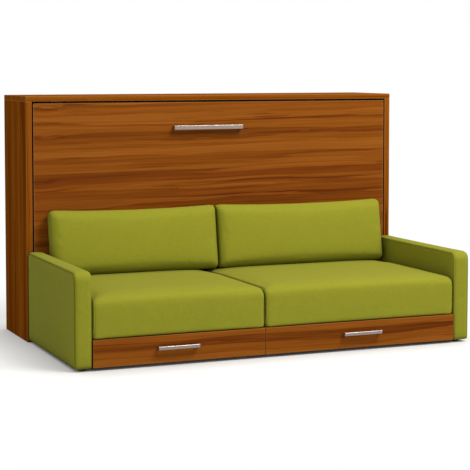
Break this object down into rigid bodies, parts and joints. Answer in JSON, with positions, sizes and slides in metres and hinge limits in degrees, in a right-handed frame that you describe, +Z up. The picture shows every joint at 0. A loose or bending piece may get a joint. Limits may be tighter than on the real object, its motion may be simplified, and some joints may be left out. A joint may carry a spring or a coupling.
{
  "type": "wall bed with sofa",
  "caption": "Wall bed with sofa: a wood-grain cabinet whose front folds down as a single bed over an upholstered sofa with seat and back cushions and drawers under the seat.",
  "frame": {"origin": "on the floor, in the middle of the whole piece of furniture's width and depth", "axes": "+X to the right as seen from the front, -Y towards the front of the sofa, +Z up; the wall is at +Y"},
  "size_m": [2.14, 1.348, 1.29],
  "materials": {
    "wood": "satin walnut decor with the grain running across",
    "wood_vertical": "satin walnut decor with upright grain",
    "board": "matt melamine-faced board",
    "fabric": "olive green woven upholstery",
    "ticking": "quilted off-white mattress cover",
    "webbing": "dark woven webbing",
    "beech": "lacquered beech",
    "satin_metal": "satin nickel",
    "steel": "grey powder coat and zinc",
    "black_steel": "black enamel",
    "rubber": "matt black rubber",
    "black_plastic": "matt black plastic"
  },
  "bodies": {
    "root": {"cabinet_side_left": "wood_vertical", "cabinet_side_right": "wood_vertical", "cabinet_top": "wood", "cabinet_floor_board": "board", "cabinet_back_board": "board", "lower_front_panel": "wood", "wall_bracket_left": "steel", "wall_bracket_right": "steel", "pivot_plate_left": "steel", "pivot_plate_right": "steel", "closing_bumper_left": "rubber", "closing_bumper_right": "rubber", "sofa_arm_left": "fabric", "sofa_arm_right": "fabric", "base_side_left": "board", "base_side_right": "board", "base_divider": "board", "seat_deck": "board", "sofa_foot_front_left": "black_plastic", "sofa_foot_front_right": "black_plastic", "sofa_foot_rear_left": "black_plastic", "sofa_foot_rear_right": "black_plastic", "seat_cushion_left": "fabric", "seat_cushion_right": "fabric", "drawer_left_rail_left": "steel", "drawer_left_rail_right": "steel", "drawer_right_rail_left": "steel", "drawer_right_rail_right": "steel"},
    "bed": {"bed_panel": "wood", "bed_frame": "steel", "slat_mat": "beech", "mattress": "ticking", "mattress_strap_left": "webbing", "mattress_strap_right": "webbing", "bed_handle": "satin_metal", "hinge_lever_left": "steel", "hinge_lever_right": "steel"},
    "back_left": {"back_cushion_left": "fabric"},
    "back_right": {"back_cushion_right": "fabric"},
    "strut_barrel_left": {"strut_barrel_left": "black_steel"},
    "strut_rod_left": {"strut_rod_left": "steel"},
    "strut_barrel_right": {"strut_barrel_right": "black_steel"},
    "strut_rod_right": {"strut_rod_right": "steel"},
    "drawer_left": {"drawer_front_left": "wood", "drawer_handle_left": "satin_metal", "drawer_left_back": "board", "drawer_left_bottom": "board", "drawer_left_wall_left": "board", "drawer_left_wall_right": "board", "drawer_left_slider_left": "steel", "drawer_left_slider_right": "steel"},
    "drawer_right": {"drawer_front_right": "wood", "drawer_handle_right": "satin_metal", "drawer_right_back": "board", "drawer_right_bottom": "board", "drawer_right_wall_left": "board", "drawer_right_wall_right": "board", "drawer_right_slider_left": "steel", "drawer_right_slider_right": "steel"}
  },
  "joints": [
    {"name": "bed_fold", "type": "hinge", "parent": "root", "child": "bed", "pos_m": [0, 0.274, 0.5283], "axis": [1, 0, 0], "range_deg": [0, 90]},
    {"name": "back_fold_left", "type": "hinge", "parent": "root", "child": "back_left", "pos_m": [-0.502, 0.09946, 0.3923], "axis": [1, 0, 0], "range_deg": [0, 99.02]},
    {"name": "back_fold_right", "type": "hinge", "parent": "root", "child": "back_right", "pos_m": [0.467, 0.09946, 0.3923], "axis": [1, 0, 0], "range_deg": [0, 99.02]},
    {"name": "strut_swing_left", "type": "hinge", "parent": "root", "child": "strut_barrel_left", "pos_m": [-1.02, 0.524, 0.9783], "axis": [1, 0, 0], "range_deg": [0, 5.27]},
    {"name": "strut_slide_left", "type": "slide", "parent": "strut_barrel_left", "child": "strut_rod_left", "axis": [0, 0.4201, 0.9075], "range_m": [0, 0.1176]},
    {"name": "strut_swing_right", "type": "hinge", "parent": "root", "child": "strut_barrel_right", "pos_m": [1.02, 0.524, 0.9783], "axis": [1, 0, 0], "range_deg": [0, 5.27]},
    {"name": "strut_slide_right", "type": "slide", "parent": "strut_barrel_right", "child": "strut_rod_right", "axis": [0, 0.4201, 0.9075], "range_m": [0, 0.1176]},
    {"name": "drawer_slide_left", "type": "slide", "parent": "root", "child": "drawer_left", "axis": [0, -1, 0], "range_m": [0, 0.48]},
    {"name": "drawer_slide_right", "type": "slide", "parent": "root", "child": "drawer_right", "axis": [0, -1, 0], "range_m": [0, 0.48]}
  ],
  "couplings": [
    {"joint": "back_fold_left", "follows": "bed_fold", "ratio": 1.1},
    {"joint": "back_fold_right", "follows": "bed_fold", "ratio": 1.1},
    {"joint": "strut_swing_left", "follows": "bed_fold", "ratio": 0.058547},
    {"joint": "strut_slide_left", "follows": "bed_fold", "m_per_rad": 0.07478},
    {"joint": "strut_swing_right", "follows": "bed_fold", "ratio": 0.058547},
    {"joint": "strut_slide_right", "follows": "bed_fold", "m_per_rad": 0.07478}
  ]
}
